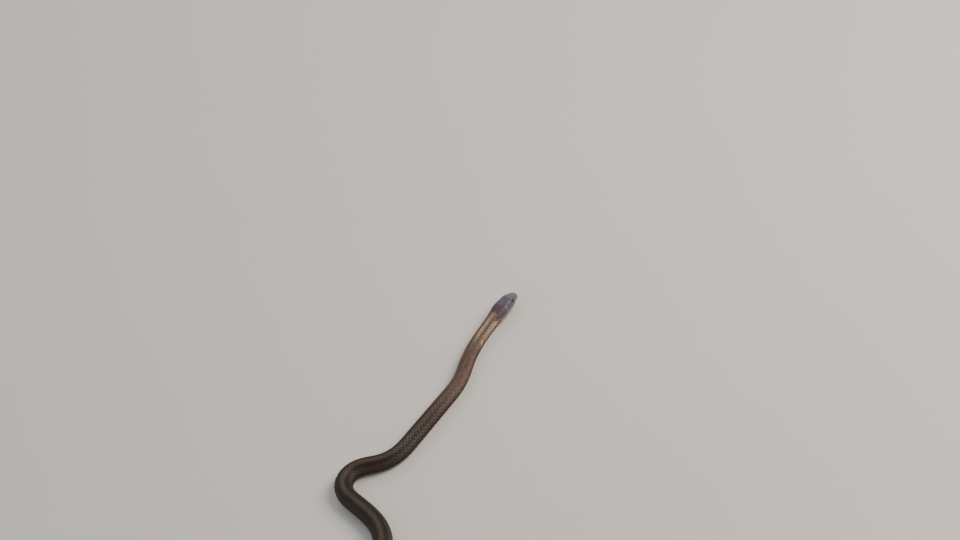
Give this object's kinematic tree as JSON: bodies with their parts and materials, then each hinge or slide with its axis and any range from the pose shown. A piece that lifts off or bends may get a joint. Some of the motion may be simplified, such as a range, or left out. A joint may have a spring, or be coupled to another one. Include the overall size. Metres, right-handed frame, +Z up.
{
  "type": "garter snake",
  "caption": "Life-size striped garter snake lying in easy bends on flat ground, head slightly raised, mouth shut, tail tapering to a point.",
  "frame": {"origin": "middle of the ground that the snake covers, at ground level, under its belly", "axes": "+Z up from the ground; +Y along the longest side of its footprint towards the head's end; +X to the right when the head's end is far away"},
  "size_m": [0.1524, 0.4578, 0.0102],
  "materials": {
    "head_shields": "satin slate-grey horny shields",
    "throat": "pale satin scales",
    "scaly_skin": "olive-brown keeled scales with pale tan stripes along the back and sides",
    "eye": "glossy clear scale over a brown iris and round pupil"
  },
  "bodies": {
    "root": {"head": "head_shields", "jaw": "throat", "eye_left": "eye", "eye_right": "eye", "neck": "scaly_skin", "torso_1": "scaly_skin", "torso_2": "scaly_skin", "torso_3": "scaly_skin", "torso_4": "scaly_skin", "torso_5": "scaly_skin", "torso_6": "scaly_skin", "torso_7": "scaly_skin", "tail_1": "scaly_skin", "tail_2": "scaly_skin"}
  },
  "joints": []
}
